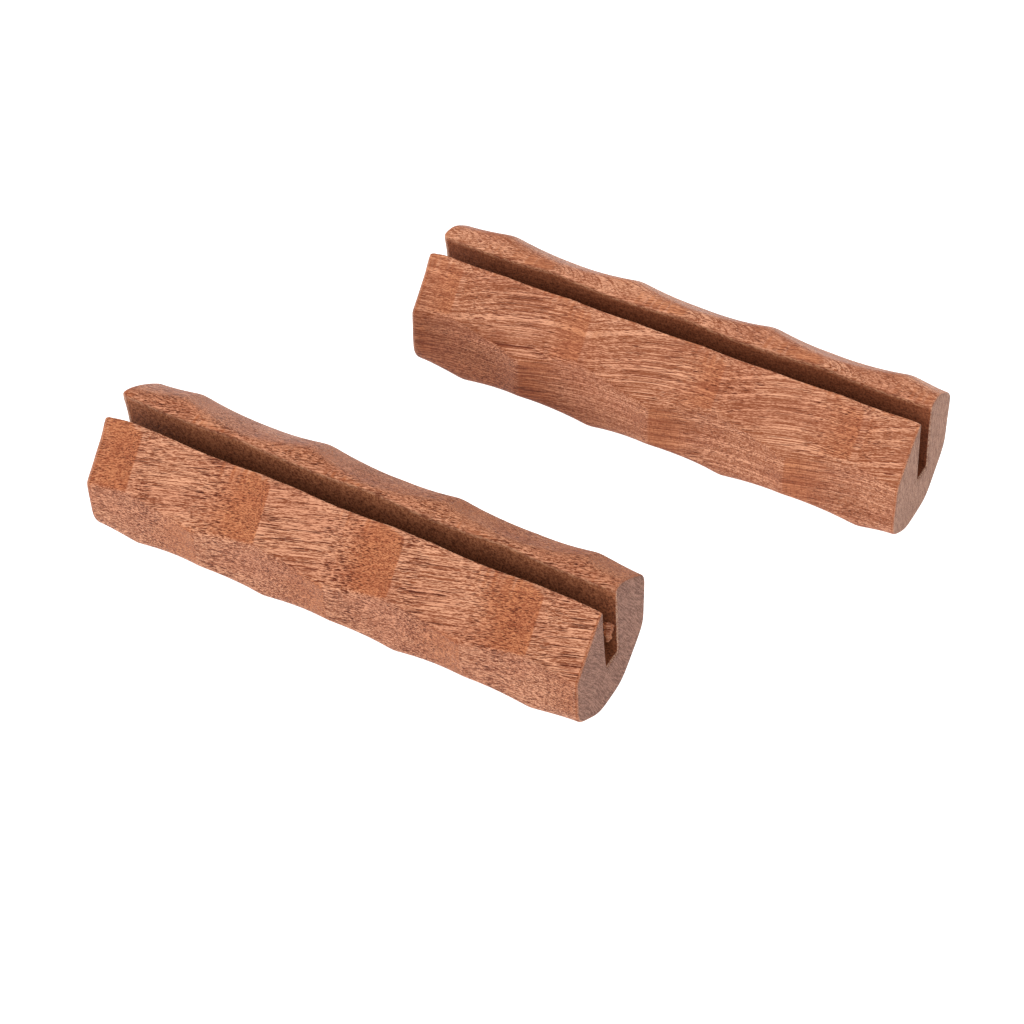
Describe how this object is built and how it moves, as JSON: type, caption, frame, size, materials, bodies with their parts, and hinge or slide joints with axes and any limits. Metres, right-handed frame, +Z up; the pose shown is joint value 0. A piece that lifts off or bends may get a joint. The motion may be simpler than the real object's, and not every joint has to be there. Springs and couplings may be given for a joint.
{
  "type": "slotted wooden hand grips",
  "caption": "Solid hardwood hand grips, carved in rows of shallow scoops and slotted from end to end, that push over the edge of a plate or flat bar",
  "frame": {"origin": "On the surface that both grips stand on, under the middle of the pair's bounding box", "axes": "+X runs along both grips, +Y from the front grip to the rear grip, +Z up out of the slots"},
  "size_m": [0.1524, 0.1025, 0.0313],
  "materials": {
    "front_wood": "reddish-brown hardwood, carved and lightly oiled, satin",
    "rear_wood": "reddish-brown hardwood, carved and lightly oiled, satin"
  },
  "bodies": {
    "root": {"front_grip": "front_wood", "rear_grip": "rear_wood"}
  },
  "joints": []
}
